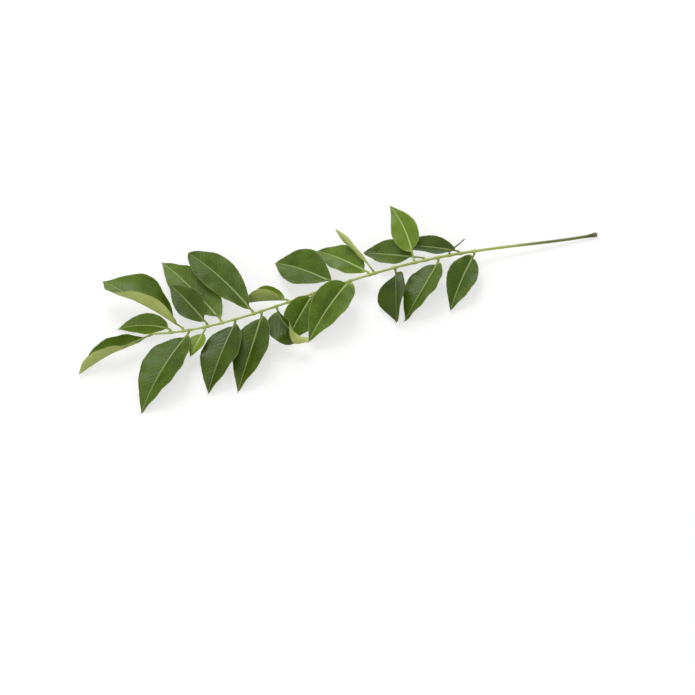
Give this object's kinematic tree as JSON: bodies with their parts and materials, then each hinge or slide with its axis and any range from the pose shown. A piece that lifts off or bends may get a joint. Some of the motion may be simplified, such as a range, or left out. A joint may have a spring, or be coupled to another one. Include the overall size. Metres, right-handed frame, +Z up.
{
  "type": "curry leaf sprig",
  "caption": "Curry leaf sprig: a compound leaf with a slim cut stem, alternate folded leaflets and a rolled end leaflet, lying on a flat surface.",
  "frame": {"origin": "middle of the sprig seen from above, on the surface that it lies on", "axes": "+X towards the cut end of the stem, +Y towards the far leaflets, +Z up"},
  "size_m": [0.2628, 0.1188, 0.027],
  "materials": {
    "leaf": "waxy satin green upper side, matt pale green underside",
    "stem": "fresh satin yellow-green skin, brown at the cut end"
  },
  "bodies": {
    "root": {"rachis": "stem", "bare_stalk": "stem", "near_leaflet_1": "leaf", "near_leaflet_2": "leaf", "near_leaflet_3": "leaf", "near_leaflet_4": "leaf", "near_leaflet_5": "leaf", "near_leaflet_6": "leaf", "near_leaflet_7": "leaf", "near_leaflet_8": "leaf", "near_leaflet_9": "leaf", "near_leaflet_10": "leaf", "far_leaflet_1": "leaf", "far_leaflet_2": "leaf", "far_leaflet_3": "leaf", "far_leaflet_4": "leaf", "far_leaflet_5": "leaf", "far_leaflet_6": "leaf", "far_leaflet_7": "leaf", "far_leaflet_8": "leaf", "far_leaflet_9": "leaf", "far_leaflet_10": "leaf", "far_leaflet_11": "leaf", "far_leaflet_12": "leaf", "end_leaflet": "leaf"}
  },
  "joints": []
}
